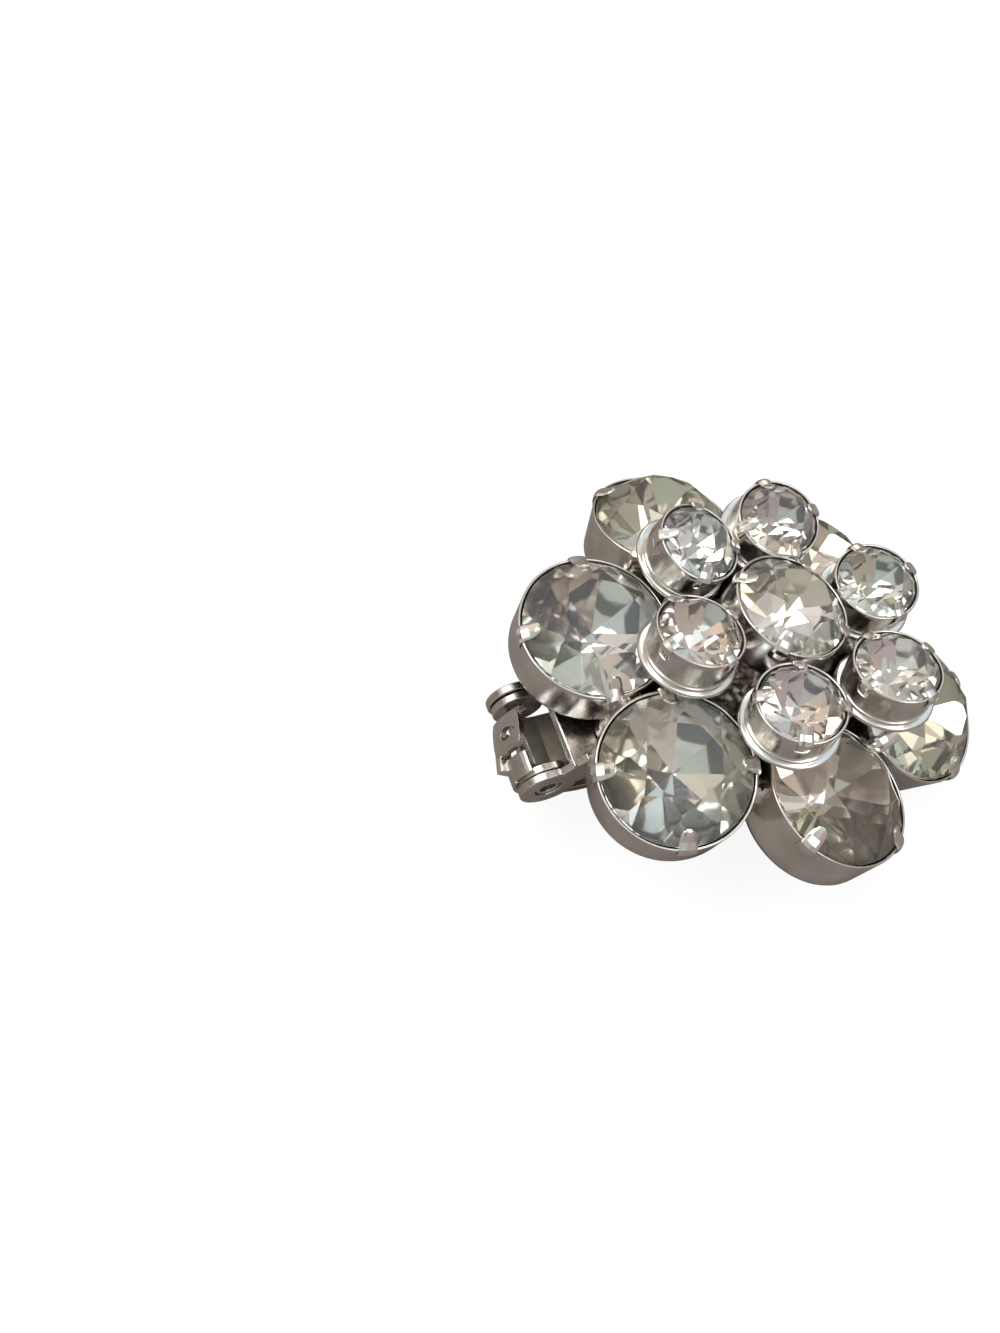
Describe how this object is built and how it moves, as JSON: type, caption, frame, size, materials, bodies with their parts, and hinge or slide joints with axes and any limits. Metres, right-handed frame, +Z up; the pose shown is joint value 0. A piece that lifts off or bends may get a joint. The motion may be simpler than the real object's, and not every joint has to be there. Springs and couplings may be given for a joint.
{
  "type": "cluster clip earring",
  "caption": "Clip earring with a domed cluster of round faceted glass stones in soldered cups on two levels, and a hinged clip lever behind.",
  "frame": {"origin": "centre of the bounding box on the surface that the earring lies on", "axes": "+Z up from that surface, -X towards the clip's hinge, +Y along the hinge pin"},
  "size_m": [0.0368, 0.0354, 0.0208],
  "materials": {
    "plated_metal": "rhodium plate over white metal, bright on rims, worn and grey between cups",
    "lever_metal": "rhodium plate over brass sheet, lightly scratched",
    "glass_stone": "clear cut glass with a silver foil back"
  },
  "bodies": {
    "root": {"setting": "plated_metal", "centre_stone": "glass_stone", "large_stone_1": "glass_stone", "large_stone_2": "glass_stone", "large_stone_3": "glass_stone", "large_stone_4": "glass_stone", "large_stone_5": "glass_stone", "large_stone_6": "glass_stone", "small_stone_1": "glass_stone", "small_stone_2": "glass_stone", "small_stone_3": "glass_stone", "small_stone_4": "glass_stone", "small_stone_5": "glass_stone", "small_stone_6": "glass_stone"},
    "lever": {"clip_lever": "lever_metal"}
  },
  "joints": [
    {"name": "clip_hinge", "type": "hinge", "parent": "root", "child": "lever", "pos_m": [-0.01565, -0.00045, 0.00713], "axis": [0, 0.999, -0.044], "range_deg": [0, 95]}
  ]
}
